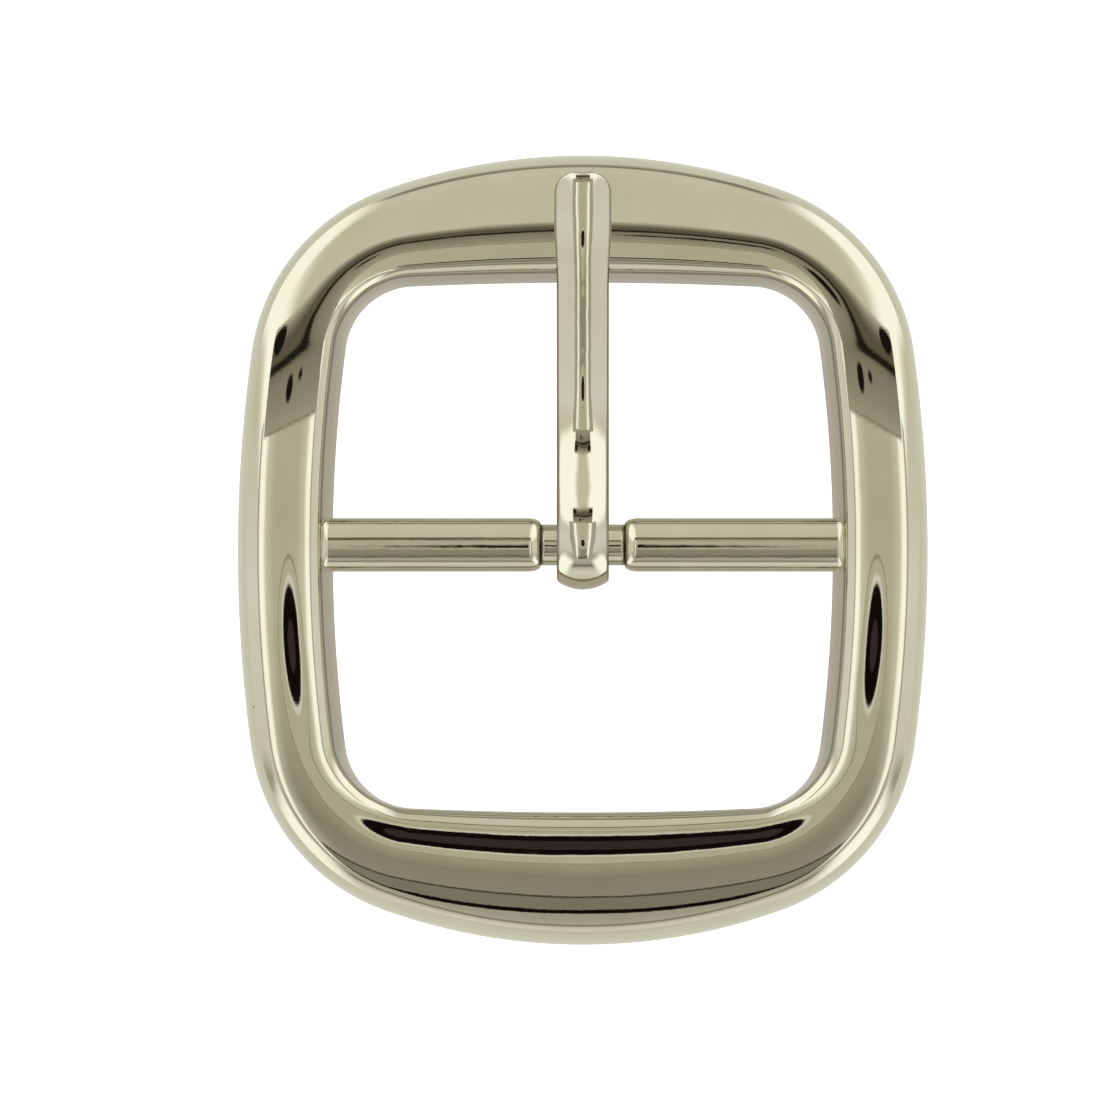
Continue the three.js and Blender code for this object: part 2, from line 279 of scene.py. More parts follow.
def frame_section(width, draft, s):
    """The cross-section of a bar of each width and draft. Returns three arrays of places by points: the
    distance in from the outer edge, a height offset, and whether the height follows the front (1) or the
    back (0). From the opening's foot it runs along the back, round the back edge, up the barrelled outer
    wall, over the rim, the wide face and the inner edge to the crease, each arc tangent to the next."""
    sin, cos = np.sin, np.cos
    one = np.ones_like(width)
    face = s.face_radius * width / s.side_width
    inner = s.inner_radius * (width / s.side_width) ** EDGE_GROWTH
    crest = s.crest_share * width
    rim_foot = s.rim_tilt
    rim_span = crest - s.wall_radius * (1 - sin(rim_foot)) - s.rim_radius * sin(rim_foot)
    rim_top = np.arcsin(rim_span / (face - s.rim_radius))
    inner_span = width - draft - crest - inner * sin(s.crease_tilt)
    inner_top = np.arcsin(inner_span / (face - inner))
    rim_d = crest - (face - s.rim_radius) * sin(rim_top)
    rim_drop = face - (face - s.rim_radius) * cos(rim_top)
    wall_d = rim_d + (s.wall_radius - s.rim_radius) * sin(rim_foot)
    wall_drop = rim_drop + (s.wall_radius - s.rim_radius) * cos(rim_foot)
    inner_d = crest + (face - inner) * sin(inner_top)
    inner_drop = face - (face - inner) * cos(inner_top)
    crease_d = inner_d + (inner - s.crease_radius) * sin(s.crease_tilt)
    crease_drop = inner_drop - (inner - s.crease_radius) * cos(s.crease_tilt)
    parts = []

    def column(value):
        return (value * one)[:, None]

    def arc(d, drop, radius, start, stop, steps, last=False):
        tilt = column(start) + column(stop - start) * np.linspace(0, 1, steps, endpoint=last)[None, :]
        parts.append((column(d) + column(radius) * sin(tilt), column(drop) - column(radius) * cos(tilt), 1))

    turn = np.linspace(0, np.pi / 2, 5)
    foot = s.foot_radius
    parts.append((column(width) - foot * (1 - cos(turn)), column(foot) * (1 - sin(turn)), 0))
    across = np.linspace(0, 1, 6)[1:-1]
    edge = s.back_edge_radius
    parts.append((column(width - foot) + column(edge - width + foot) * across, column(0) * across, 0))
    turn = np.linspace(0, np.pi / 2, 8)
    parts.append((column(edge) * (1 - sin(turn)), column(edge) * (1 - cos(turn)), 0))
    arc(wall_d, wall_drop, s.wall_radius, -np.pi / 2, -rim_foot, 8)
    arc(rim_d, rim_drop, s.rim_radius, -rim_foot, -rim_top, 22)
    arc(crest, face, face, -rim_top, inner_top, 34)
    arc(inner_d, inner_drop, inner, inner_top, s.crease_tilt, 16)
    arc(crease_d, crease_drop, s.crease_radius, s.crease_tilt, WALL_TILT, 4, last=True)
    d = np.concatenate([p[0] for p in parts], axis=1)
    offset = np.concatenate([p[1] for p in parts], axis=1)
    front = np.concatenate([np.full(p[0].shape, float(p[2])) for p in parts], axis=1)
    return d, offset, front


def frame_grid(s):
    """The ring: the section of each place's own width, laid between the outer and the opening's outline.
    The front follows a bow, crown - y^2 / (2 bow radius), and the back an arch, rise (1 - (y / half
    length)^2)^1.5. Returns the points and each column's painted shade: a dark line painted into the opening's
    crease."""
    half_height = (s.opening_height + s.upper_width + s.lower_width) / 2
    outer = barrel_outline(s.opening_width / 2 + s.side_width, half_height, s.outer_side_radius,
                           s.outer_end_radius, s.outer_corner_radius, (s.upper_width - s.lower_width) / 2)
    inner = barrel_outline(s.opening_width / 2, s.opening_height / 2, s.opening_side_radius,
                           s.opening_end_radius, s.opening_corner_radius, 0)
    width = np.hypot(*(inner - outer).T)
    end = s.opening_height / 2
    corner = end - s.opening_corner_radius
    draft = s.draft + (s.lower_draft - s.draft) * soft_step(-inner[:, 1], corner, end)
    draft += (s.upper_draft - s.draft) * soft_step(inner[:, 1], corner, end)
    d, offset, front = frame_section(width, draft, s)
    share = (d / width[:, None])[..., None]
    plan = outer[:, None, :] * (1 - share) + inner[:, None, :] * share
    y = plan[..., 1]
    crest = s.crown - y ** 2 / (2 * s.bow_radius)
    arch = s.arch_rise * np.maximum(0, 1 - (y / s.arch_half_length) ** 2) ** 1.5
    height = np.where(front > 0.5, crest - offset, arch + offset)
    ring = np.concatenate([plan, height[..., None]], axis=-1)
    wall = np.array(WALL_SHARES)[None, :, None]
    ring = np.concatenate([ring, ring[:, -1:] + (ring[:, :1] - ring[:, -1:]) * wall], axis=1)
    # Painted shade: a dark line along the opening's crease.
    tarnish = np.zeros(ring.shape[1])
    tarnish[-len(CREASE_SHADE):] = CREASE_SHADE
    return ring, tarnish


# ---------- The centre bar ----------

JOIN_TILT = math.radians(16)  # where a flattened front turns into the rounder side
BAR_END = 1.0  # how far the bar goes on inside the frame's wall
HAIR = 0.001  # between the shoulder's foot and the neck's first row
FILLET_BURIED = 0.6  # how deep the fillet's hidden side lies in the bar
FILLET_BEHIND = 0.8  # how far it goes on behind the frame's wall
CREASE_DROP = 0.72  # how far the wall's crease lies below the crown beside the bar


def oval_section(half_width, half_depth, front_radius, inset):
    """A closed oval with a flattened front and back, for each inset. A quarter is an arc of the front radius
    up to the join tilt, then a tangent side arc, and the rest is its mirror images. The inset shortens both
    radii. Returns insets by points by (y, z)."""
    inset = np.asarray(inset, float)[:, None]
    side_radius = (half_width - front_radius * math.sin(JOIN_TILT)) / (1 - math.sin(JOIN_TILT))
    front = np.linspace(0, JOIN_TILT, 9, endpoint=False)
    side = np.linspace(JOIN_TILT, math.pi / 2, 12)
    low = half_depth - front_radius
    cy = (front_radius - side_radius) * math.sin(JOIN_TILT)
    cz = low + (front_radius - side_radius) * math.cos(JOIN_TILT)
    flat = front_radius - inset
    tight = side_radius - inset
    y = np.concatenate([flat * np.sin(front), cy + tight * np.sin(side)], axis=1)
    z = np.concatenate([low + flat * np.cos(front), cz + tight * np.cos(side)], axis=1)
    quarter = np.stack([y, z], axis=-1)
    lower = (quarter * [1, -1])[:, ::-1]
    back = (quarter * [-1, -1])[:, 1:]
    upper = (quarter * [-1, 1])[:, :0:-1]
    return np.concatenate([quarter, lower, back, upper], axis=1)


def bar_grid(s, end_x):
    """The bar: the oval carried along X, with rounded shoulders that lead down to the neck. A shoulder is a
    quarter ellipse: along it the place is the sine and the inset one minus the cosine. Returns the points and
    each row's painted shade: a dark ring painted in the corner at the shoulder's foot."""
    turn = np.linspace(0, math.pi / 2, 12)
    neck = s.neck_half_length
    body = np.linspace(end_x, neck + s.shoulder_length, 40, endpoint=False)
    x = np.concatenate([body, neck + s.shoulder_length * (1 - np.sin(turn))])
    inset = np.concatenate([0 * body, s.shoulder_depth * (1 - np.cos(turn))])
    thick = oval_section(s.half_width, s.half_depth, s.front_radius, inset)
    neck_x = np.linspace(neck - HAIR, 0, 12)
    thin = oval_section(s.neck_half_width, s.neck_half_depth, s.neck_front_radius, 0 * neck_x)
    ovals = np.concatenate([thick, thin])
    along = np.concatenate([x, neck_x])[:, None, None]
    half = np.concatenate([np.broadcast_to(along, ovals.shape[:2] + (1,)), ovals], axis=-1)
    other = (half * [-1, 1, 1])[-2::-1]
    tarnish = np.zeros((len(half), 1))
    # Painted shade: a dark ring in the corner where the shoulder meets the neck.
    tarnish[len(x) - 3:len(x) + 1] = 1
    return np.concatenate([half, other]) + [0, 0, s.axis_height], np.concatenate([tarnish, tarnish[-2::-1]])


def fillet_grid(s, f, side):
    """The fillet between the bar's end and the frame's drafted wall: round the bar's oval, a quarter circle
    from the bar's surface to the wall, closed inside the metal."""
    oval = oval_section(s.half_width, s.half_depth, s.front_radius, [0.0, -1.0])
    base = oval[0]
    normal = oval[1] - oval[0]
    normal = normal / np.linalg.norm(normal, axis=-1, keepdims=True)
    turn = np.linspace(0, math.pi / 2, 12)
    radius = s.fillet_radius
    out = np.concatenate([[-FILLET_BURIED], radius * (1 - np.cos(turn)), [radius, -FILLET_BURIED]])
    ahead = np.concatenate([[-radius], radius * (np.sin(turn) - 1), [FILLET_BEHIND, FILLET_BEHIND]])
    plan = base[:, None, :] + normal[:, None, :] * out[None, :, None]
    height = plan[..., 1] + s.axis_height
    crease = f.crown - CREASE_DROP
    lean = np.clip((height - f.arch_rise) / (crease - f.arch_rise), 0, 1)
    x = f.opening_width / 2 + f.draft * lean + ahead[None, :]
    return np.stack([side * x, plan[..., 0], height], axis=-1)


# ---------- The tongue ----------

# Along the shank: the distance from the axis in millimetres, and how many degrees the top leans towards the
# tip. The top is level over the eye, falls into a dip, climbs to the upper bar and rounds over at the tip.
TOP_PLACES = (0, 1.65, 2.3, 4.8, 7.5, 8.8, 11.3, 13.1, 14.5, 18.5, 22.6, 23.6, 24.6, 26.5, 29.0, 29.6)
TOP_LEANS = (-2.3, 3.05, 6.0, 8.6, 5.6, 2.35, -2.15, -5.5, -7.0, -7.6, -7.0, -6.55, -3.35, -1.5, 0.4, 7.0)
# The crown's radius across the strip, in millimetres: round at the eye's rear, flatter over the eye and the
# dip, rounder again along the shank.
CROWN_PLACES = (-1.7, -0.3, 4.8, 8.8, 12.3, 22, 26, 29.6)
CROWN_RADII = (3.0, 6.5, 8.8, 5.6, 4.4, 4.4, 5.5, 5.5)
SMOOTHING = 1.2  # the run in millimetres over which a table is averaged
EYE_SQUARENESS = 2.8  # the superellipse's power: 2 is an ellipse
EYE_OFFSET = 0.8  # the middle of the eye's outside lies this far in front of the axis
EYE_BLEND = 6  # where the eye's width and thickness have become the shank's
TIP_START, TIP_STOP = 9.5, 3.5  # where the shank starts and stops spreading, back from the end
NOSE_END = 0.06  # the half width that the nose keeps at its very end
UNDERSIDE_LIFT = 0.2  # how much of the nose's rounding its underside follows
STRIP_BEVEL = 0.3  # on the edges of the underside
SIDE_DARKENING = (0, 0.2, 0.5, 0.6, 0.55, 0.5, 0.45, 0.4, 0.4, 0.3, 0.2, 0.1, 0)  # how much darker the tongue's sides are, from edge arc to bevel


def smooth_table(value, places, values):
    """A smooth curve through a short table: straight runs between the places, averaged over a short run."""
    shifts = np.linspace(-SMOOTHING / 2, SMOOTHING / 2, 9)
    return np.mean([np.interp(value + shift, places, values) for shift in shifts], axis=0)


def strip_section(half_width, thickness, crown_radius, edge_radius):
    """The strip's closed section for each row, as (across, up): a crowned top of the crown radius, tangent
    edge arcs, straight sides and a flat underside with small bevels. Returns the points and how much darker
    each column is: the sides are darkened, most just below the edge arc."""
    half = half_width[:, None]
    edge = np.minimum(edge_radius, 0.9 * half_width)[:, None]
    crown = crown_radius[:, None]
    top = thickness[:, None]
    lean = np.arcsin((half - edge) / (crown - edge))
    t = np.linspace(0, 1, 16, endpoint=False)[None, :]
    u = np.linspace(0, 1, 8)[None, :]
    tilt = lean + (math.pi / 2 - lean) * u
    bevel = np.minimum(STRIP_BEVEL, 0.4 * half)
    turn = np.linspace(0, math.pi / 2, 5)[None, :]
    inner = crown - edge
    across = np.concatenate([crown * np.sin(lean * t), inner * np.sin(lean) + edge * np.sin(tilt),
                             half - bevel * (1 - np.cos(turn))], axis=1)
    up = np.concatenate([top - crown + crown * np.cos(lean * t),
                         top - crown + inner * np.cos(lean) + edge * np.cos(tilt),
                         bevel * (1 - np.sin(turn))], axis=1)
    right = np.stack([across, up], axis=-1)
    left = (right * [-1, 1])[:, :0:-1]
    # The sides are darkened; the crowned top is not.
    tarnish = np.array((0,) * t.size + SIDE_DARKENING)
    return np.concatenate([right, left], axis=1), np.concatenate([tarnish, tarnish[:0:-1]])


def tongue_grid(s, axis_height):
    """The tongue: one strip bent round the neck and drawn out along the opening. Round the neck the inside
    is a circle and the outside a superellipse, |y / a|^n + |z / b|^n = 1, whose middle lies in front of the
    axis. Along the shank the top line is the sum of its lean, and the strip's thickness hangs below it.
    Returns the points and how much darker each column is."""
    turn = 1.5 * math.pi + s.curl_end - math.atan(EYE_OFFSET / s.eye_height)
    a = s.curl_end - turn * np.linspace(0, 1, 72, endpoint=False)
    n = EYE_SQUARENESS
    back = s.eye_back + EYE_OFFSET
    reach = np.where(np.cos(a) < 0, back, s.eye_back - EYE_OFFSET)
    size = 1 / (np.abs(np.cos(a) / reach) ** n + np.abs(np.sin(a) / s.eye_height) ** n) ** (1 / n)
    round_neck = np.stack([np.cos(a), np.sin(a)], axis=-1)
    start = round_neck * s.eye_inside
    outside = round_neck * size[:, None] + [EYE_OFFSET, 0]
    thick = np.linalg.norm(outside - start, axis=-1)
    direction = (outside - start) / thick[:, None]
    # The shank, closer steps towards the tip so that the nose is round.
    share = np.linspace(0, 1, 150)
    y = s.reach * np.sin(share * math.pi / 2)
    fine = np.linspace(0, s.reach, 3000)
    slope = np.tan(np.radians(smooth_table(fine, TOP_PLACES, TOP_LEANS)))
    fall = np.concatenate([[0], np.cumsum((slope[1:] + slope[:-1]) / 2 * np.diff(fine))])
    top = s.eye_height * (1 - (EYE_OFFSET / back) ** n) ** (1 / n) - np.interp(y, fine, fall)
    eye_thickness = s.eye_height - s.eye_inside
    thickness = eye_thickness + (s.shank_thickness - eye_thickness) * soft_step(y, 0, EYE_BLEND)
    tip = soft_step(y, s.reach - TIP_START, s.reach - TIP_STOP)
    thickness = thickness + (s.tip_thickness - thickness) * tip
    width = s.eye_width + (s.shank_width - s.eye_width) * soft_step(y, 0, EYE_BLEND)
    width = width + (s.tip_width - width) * tip
    past = np.clip((y - (s.reach - s.nose_length)) / s.nose_length, 0, 1)
    nose = np.sqrt(np.maximum(0, 1 - past ** 2))
    over = np.clip((y - (s.reach - s.edge_radius)) / s.edge_radius, 0, 1)
    drop = s.edge_radius * (1 - np.sqrt(np.maximum(0, 1 - over ** 2)))
    under = top - thickness + UNDERSIDE_LIFT * drop
    shank_start = np.stack([y, under], axis=-1)
    shank_direction = np.broadcast_to([0.0, 1.0], shank_start.shape)
    start = np.concatenate([start, shank_start])
    direction = np.concatenate([direction, shank_direction])
    thick = np.concatenate([thick, top - drop - under])
    half = np.concatenate([np.full(len(a), s.eye_width / 2), np.maximum(width / 2 * nose, NOSE_END)])
    crown = smooth_table(start[:, 0], CROWN_PLACES, CROWN_RADII)
    section, tarnish = strip_section(half, thick, crown, s.edge_radius)
    place = start[:, None, :] + direction[:, None, :] * section[..., 1:2]
    return np.concatenate([section[..., 0:1], place + [0, axis_height]], axis=-1), tarnish


# ---------- Finishes ----------

def add_node(tree, kind, settings=None, values=None, links=None, stops=()):
    """Adds a shader node, with its settings by name, its sockets' values and links by name or number and, on
    a colour ramp, its stops of (place, colour)."""
    node = tree.nodes.new("ShaderNode" + kind)
    for name, value in (settings or {}).items():
        setattr(node, name, value)
    for name, value in (values or {}).items():
        node.inputs[name].default_value = value
    for name, source in (links or {}).items():
        tree.links.new(source, node.inputs[name])
    if stops:
        elements = node.color_ramp.elements
        for _ in stops[len(elements):]:
            elements.new(0.5)
        for element, (place, shade) in zip(elements, stops):
            element.position = place
            element.color = (*shade, 1)
    return node


def blank_material(name):
    """A new material and its node tree, which is empty."""
    material = bpy.data.materials.new(name)
    material.use_nodes = True
    material.node_tree.nodes.clear()
    return material, material.node_tree


def nickel_plate(name, finish, roughness, ripple, ripple_size, scratch, grain):
    """Bright nickel, electroplated on a zinc casting that was polished on a mop. The eye sees an even,
    slightly warm mirror whose reflections waver a little where the mop dug in, a faint haze of polishing
    lines and a few dark specks. Painted shade darkens the frame's crease and the bar's shoulders, and the
    tongue's sides are darkened too. Lengths are in mm."""
    material, tree = blank_material(name)
    place = add_node(tree, "TexCoord").outputs["Object"]

    # A haze of polishing compound: patches a few millimetres wide that are a little less sharp.
    haze = add_node(tree, "TexNoise", values={"Scale": 1 / (3.0 * MM), "Detail": 4, "Roughness": 0.6},
                    links={"Vector": place})
    # Mop lines, a few to the millimetre, that run the way the grain is least squeezed.
    stretched = add_node(tree, "Mapping", values={"Scale": grain}, links={"Vector": place})
    lines = add_node(tree, "TexNoise", values={"Scale": 1 / (0.9 * MM), "Detail": 5, "Roughness": 0.7},
                     links={"Vector": stretched.outputs["Vector"]})
    blend = add_node(tree, "Math", {"operation": "MULTIPLY"},
                     links={0: haze.outputs["Fac"], 1: lines.outputs["Fac"]})
    rough = add_node(tree, "MapRange", values={"From Min": 0.12, "From Max": 0.42, "To Min": 0.55 * roughness,
                                               "To Max": 1.6 * roughness},
                     links={"Value": blend.outputs["Value"]})

    # A warm film, thin enough to see only as a shift of colour between patches.
    film = add_node(tree, "TexNoise", values={"Scale": 1 / (6.0 * MM), "Detail": 3},
                    links={"Vector": place})
    film_share = add_node(tree, "MapRange", values={"From Min": 0.35, "From Max": 0.75, "To Max": 0.35},
                          links={"Value": film.outputs["Fac"]})
    tint = add_node(tree, "Mix", {"data_type": "RGBA"},
                    {6: (*finish.nickel, 1), 7: (*finish.tarnish, 1)}, {0: film_share.outputs["Result"]})

    # Specks of a tenth of a millimetre where the plating has a pinhole, one to a few square centimetres.
    holes = add_node(tree, "TexVoronoi", values={"Scale": 1 / (5 * MM), "Randomness": 1},
                     links={"Vector": place})
    speck = add_node(tree, "MapRange", {"interpolation_type": "SMOOTHSTEP"},
                     {"From Min": 0.012, "From Max": 0.03, "To Min": 0.8, "To Max": 0},
                     {"Value": holes.outputs["Distance"]})
    # Painted shade from the mesh: the dark line in the frame's crease and the ring at the bar's shoulders,
    # with the tongue's darker sides.
    crease = add_node(tree, "Attribute", {"attribute_name": "tarnish"}).outputs["Fac"]
    specks_and_shade = add_node(tree, "Math", {"operation": "MAXIMUM"},
                    links={0: speck.outputs["Result"], 1: crease})
    surface = add_node(tree, "Mix", {"data_type": "RGBA"}, {7: (*finish.specks_and_painted_shade, 1)},
                       {0: specks_and_shade.outputs["Value"], 6: tint.outputs[2]})

    # The waver that the mop leaves, and on it the relief of its lines.
    wave = add_node(tree, "TexNoise", None,
                    {"Scale": 1 / (ripple_size * MM), "Detail": 1.5, "Roughness": 0.4}, {"Vector": place})
    bump = add_node(tree, "Bump", values={"Strength": 1, "Distance": ripple * MM},
                    links={"Height": wave.outputs["Fac"]})
    scratched = add_node(tree, "Bump", values={"Strength": 1, "Distance": scratch * MM},
                         links={"Height": lines.outputs["Fac"], "Normal": bump.outputs["Normal"]})

    shader = add_node(tree, "BsdfPrincipled", values={"Metallic": 1}, links={
        "Base Color": surface.outputs[2], "Roughness": rough.outputs["Result"],
        "Normal": scratched.outputs["Normal"]})
    add_node(tree, "OutputMaterial", links={"Surface": shader.outputs["BSDF"]})
    return material


# ---------- The stage ----------

def glow(name, shade):
    """The finish of a card that only gives light of one colour."""
    material, tree = blank_material(name)
    light = add_node(tree, "Emission", values={"Color": (*shade, 1)})
    add_node(tree, "OutputMaterial", links={"Surface": light.outputs["Emission"]})
    return material


def card(name, outline, height, material):
    """A flat card above the buckle that only reflections show. The outline and the height are in mm."""
    points = np.column_stack([outline, np.full(len(outline), height)]) * MM
    mesh = bpy.data.meshes.new(name)
    mesh.from_pydata(points.tolist(), [], [list(range(len(points)))])
    mesh.materials.append(material)
    piece = bpy.data.objects.new(name, mesh)
    bpy.context.scene.collection.objects.link(piece)
    piece.visible_camera = False


def oblong(left, low, right, high):
    """The corners of a rectangle."""
    return np.array([[left, low], [right, low], [right, high], [left, high]], float)


def bowed(half_width, low, high, rise):
    """A strip across the stage whose ends rise, with the fourth power of the distance from the middle."""
    x = np.linspace(-1, 1, 33)
    lift = rise * x ** 4
    lower = np.column_stack([half_width * x, low + lift])
    upper = np.column_stack([half_width * x, high + lift])
    return np.concatenate([lower, upper[::-1]])


def ellipse(x, y, half_width, half_height):
    """Sixty-four points round an ellipse."""
    turn = np.linspace(0, 2 * math.pi, 64, endpoint=False)
    return np.column_stack([x + half_width * np.cos(turn), y + half_height * np.sin(turn)])


class BUCKLE_OT_stage(bpy.types.Operator):
    """Makes the floor, the soft light tent, the cards over the buckle and the camera"""
    bl_idname = "buckle.stage"
    bl_label = "Stage"

    def execute(self, context):
        s = sizes_in_mm(context.scene.buckle_stage)
        aim = 3.0
        camera_y = -s.distance * math.sin(s.tilt)
        camera_z = s.distance * math.cos(s.tilt) + aim
        self.make_floor(context)
        self.make_tent(context)

        # The lens and its collar round the camera, the slot towards the upper end and the sill towards the
        # lower one: each card's outline, its step behind the camera and its colour.
        behind = camera_z + 4
        cards = [
            ("lens_glass", ellipse(0, camera_y, 15, 15), 0, (0.04, 0.033, 0.036)),
            ("lens", ellipse(0, camera_y, 33.5, 33.5), 0.25, (0.006, 0.004, 0.004)),
            ("lens_ring", ellipse(0, camera_y, 38.5, 38.5), 0.5, (0.78, 0.79, 0.75)),
            ("lens_collar", ellipse(0, camera_y - 8, 55, 55), 1, (0.56, 0.55, 0.46)),
            ("lens_collar_edge", ellipse(0, camera_y - 8, 56.5, 56.5), 1.5, (0.22, 0.21, 0.16)),
            ("slot_line", oblong(-122, 133.5, 122, 140), 2, (0.015, 0.015, 0.01)),
            ("slot_blob_left", ellipse(-98, 157, 23, 11), 2, (0.01, 0.01, 0.008)),
            ("slot_blob_right", ellipse(98, 157, 23, 11), 2, (0.01, 0.01, 0.008)),
            ("slot_mark_left", ellipse(-31, 117, 13, 8.5), 2, (0.01, 0.01, 0.008)),
            ("slot_mark_right", ellipse(10, 121, 8, 3.5), 2, (0.01, 0.01, 0.008)),
            ("slot_edge", oblong(-124, 94.5, 124, 96), 3, (0.22, 0.215, 0.17)),
            ("sill_line", bowed(90, -213, -206, 12), 2, (0.08, 0.08, 0.055)),
            ("sill", bowed(96, -257, -209, 14), 3, (0.24, 0.25, 0.21)),
            ("sill_edge", bowed(88, -274, -258, 24), 2, (0.004, 0.004, 0.003)),
        ]
        for name, outline, step, shade in cards:
            card(name, outline, behind + step, glow(name, shade))
        slot_low, slot_high = 96, 172
        card("slot", oblong(-124, slot_low, 124, slot_high), behind + 3, self.slot_shade(slot_low, slot_high))
        far = 2400
        card("tent_front", oblong(-735, -1000, 735, 400), far, self.tent_front(far))

        camera = bpy.data.cameras.new("camera")
        camera.lens = 245.7
        camera.sensor_width = 36
        camera.shift_x = -0.0298
        camera.shift_y = -0.0045
        camera.clip_start = 0.01
        camera.clip_end = 10
        holder = bpy.data.objects.new("camera", camera)
        context.scene.collection.objects.link(holder)
        holder.location = (0, camera_y * MM, camera_z * MM)
        holder.rotation_euler = (math.atan2(-camera_y, camera_z - aim), 0, 0)
        context.scene.camera = holder
        context.scene.view_settings.view_transform = "Standard"
        return {"FINISHED"}

    def slot_shade(self, low, high):
        """The slot in the tent: light where the tent turns into it, and darkest two thirds of the way up."""
        material, tree = blank_material("slot")
        place = add_node(tree, "TexCoord").outputs["Object"]
        axes = add_node(tree, "SeparateXYZ", links={0: place})
        share = add_node(tree, "MapRange", values={"From Min": low * MM, "From Max": high * MM},
                         links={"Value": axes.outputs["Y"]})
        shade = add_node(tree, "ValToRGB", links={0: share.outputs[0]}, stops=[
            (0.0, (0.42, 0.415, 0.34)), (0.18, (0.33, 0.325, 0.27)), (0.42, (0.27, 0.265, 0.22)),
            (0.58, (0.13, 0.125, 0.09)), (0.72, (0.13, 0.12, 0.09)), (0.85, (0.30, 0.29, 0.24)),
            (1.0, (0.64, 0.62, 0.54))])
        light = add_node(tree, "Emission", links={"Color": shade.outputs["Color"]})
        add_node(tree, "OutputMaterial", links={"Surface": light.outputs["Emission"]})
        return material

    def tent_front(self, height):
        """The front of the tent: beige, browner towards the lower end, with a bright seam down each side and
        a darker strip outside it. The places of the stops are degrees from straight above."""
        material, tree = blank_material("tent_front")
        place = add_node(tree, "TexCoord").outputs["Object"]
        axes = add_node(tree, "SeparateXYZ", links={0: place})
        widest = math.tan(math.radians(30))
        reach = height * widest * MM
        across = add_node(tree, "Math", {"operation": "ABSOLUTE"}, links={0: axes.outputs["X"]})
        across = add_node(tree, "MapRange", values={"From Max": reach}, links={"Value": across.outputs[0]})
        along = add_node(tree, "MapRange", values={"From Min": -reach, "From Max": reach},
                         links={"Value": axes.outputs["Y"]})

        def share(degrees):
            return math.tan(math.radians(degrees)) / widest

        beige = (0.56, 0.55, 0.45)
        browns = [(-20, (0.34, 0.33, 0.295)), (-11, (0.31, 0.295, 0.235)), (-5, (0.50, 0.49, 0.40)),
                  (-1, beige), (8, beige)]
        seam_shares = [(0, 0), (4.5, 0.02), (7.5, 0.25), (8.6, 1), (10.2, 1), (12, 0)]
        lengthwise = add_node(tree, "ValToRGB", links={0: along.outputs[0]},
                              stops=[(share(way) / 2 + 0.5, shade) for way, shade in browns])
        seam = add_node(tree, "ValToRGB", links={0: across.outputs[0]},
                        stops=[(share(way), (part,) * 3) for way, part in seam_shares])
        outer = add_node(tree, "ValToRGB", links={0: across.outputs[0]},
                         stops=[(share(11), (0, 0, 0)), (share(12.5), (1, 1, 1))])
        lit = add_node(tree, "Mix", {"data_type": "RGBA"}, {7: (1.26, 1.31, 1.28, 1)},
                       {0: seam.outputs["Color"], 6: lengthwise.outputs["Color"]})
        whole = add_node(tree, "Mix", {"data_type": "RGBA"}, {7: (0.44, 0.46, 0.40, 1)},
                         {0: outer.outputs["Color"], 6: lit.outputs[2]})
        light = add_node(tree, "Emission", links={"Color": whole.outputs[2]})
        add_node(tree, "OutputMaterial", links={"Surface": light.outputs["Emission"]})
        return material

    def make_floor(self, context):
        """A pale floor that gives some light of its own, to stay bright, and that is clear from below."""
        half = 2.0
        mesh = bpy.data.meshes.new("floor")
        corners = oblong(-half, -half, half, half)
        mesh.from_pydata([(x, y, 0) for x, y in corners], [], [(0, 1, 2, 3)])
        material, tree = blank_material("floor")
        matt = add_node(tree, "BsdfDiffuse", values={"Color": (*context.scene.buckle_stage.floor, 1)})
        light = add_node(tree, "Emission", values={"Color": (1, 1, 1, 1), "Strength": 0.82})
        bright = add_node(tree, "AddShader", links={0: matt.outputs[0], 1: light.outputs[0]})
        # Reflections show the paper greyer than the camera sees it, as if it lay in the buckle's own shade.
        place = add_node(tree, "TexCoord").outputs["Object"]
        squeezed = add_node(tree, "Mapping", values={"Scale": (1, 0.9, 1)}, links={"Vector": place})
        away = add_node(tree, "VectorMath", {"operation": "LENGTH"},
                        links={0: squeezed.outputs["Vector"]})
        share = add_node(tree, "MapRange", values={"From Max": 50 * MM},
                         links={"Value": away.outputs["Value"]})
        paper = add_node(tree, "ValToRGB", links={0: share.outputs[0]},
                         stops=[(0.46, (0.47, 0.445, 0.39)), (0.60, (0.74, 0.76, 0.70))])
        shaded = add_node(tree, "Emission", links={"Color": paper.outputs["Color"]})
        direct = add_node(tree, "LightPath").outputs["Is Camera Ray"]
        both = add_node(tree, "MixShader",
                        links={0: direct, 1: shaded.outputs[0], 2: bright.outputs[0]})
        clear = add_node(tree, "BsdfTransparent")
        side = add_node(tree, "NewGeometry").outputs["Backfacing"]
        seen = add_node(tree, "MixShader", links={0: side, 1: both.outputs[0], 2: clear.outputs[0]})
        add_node(tree, "OutputMaterial", links={"Surface": seen.outputs[0]})
        mesh.materials.append(material)
        floor = bpy.data.objects.new("floor", mesh)
        context.scene.collection.objects.link(floor)

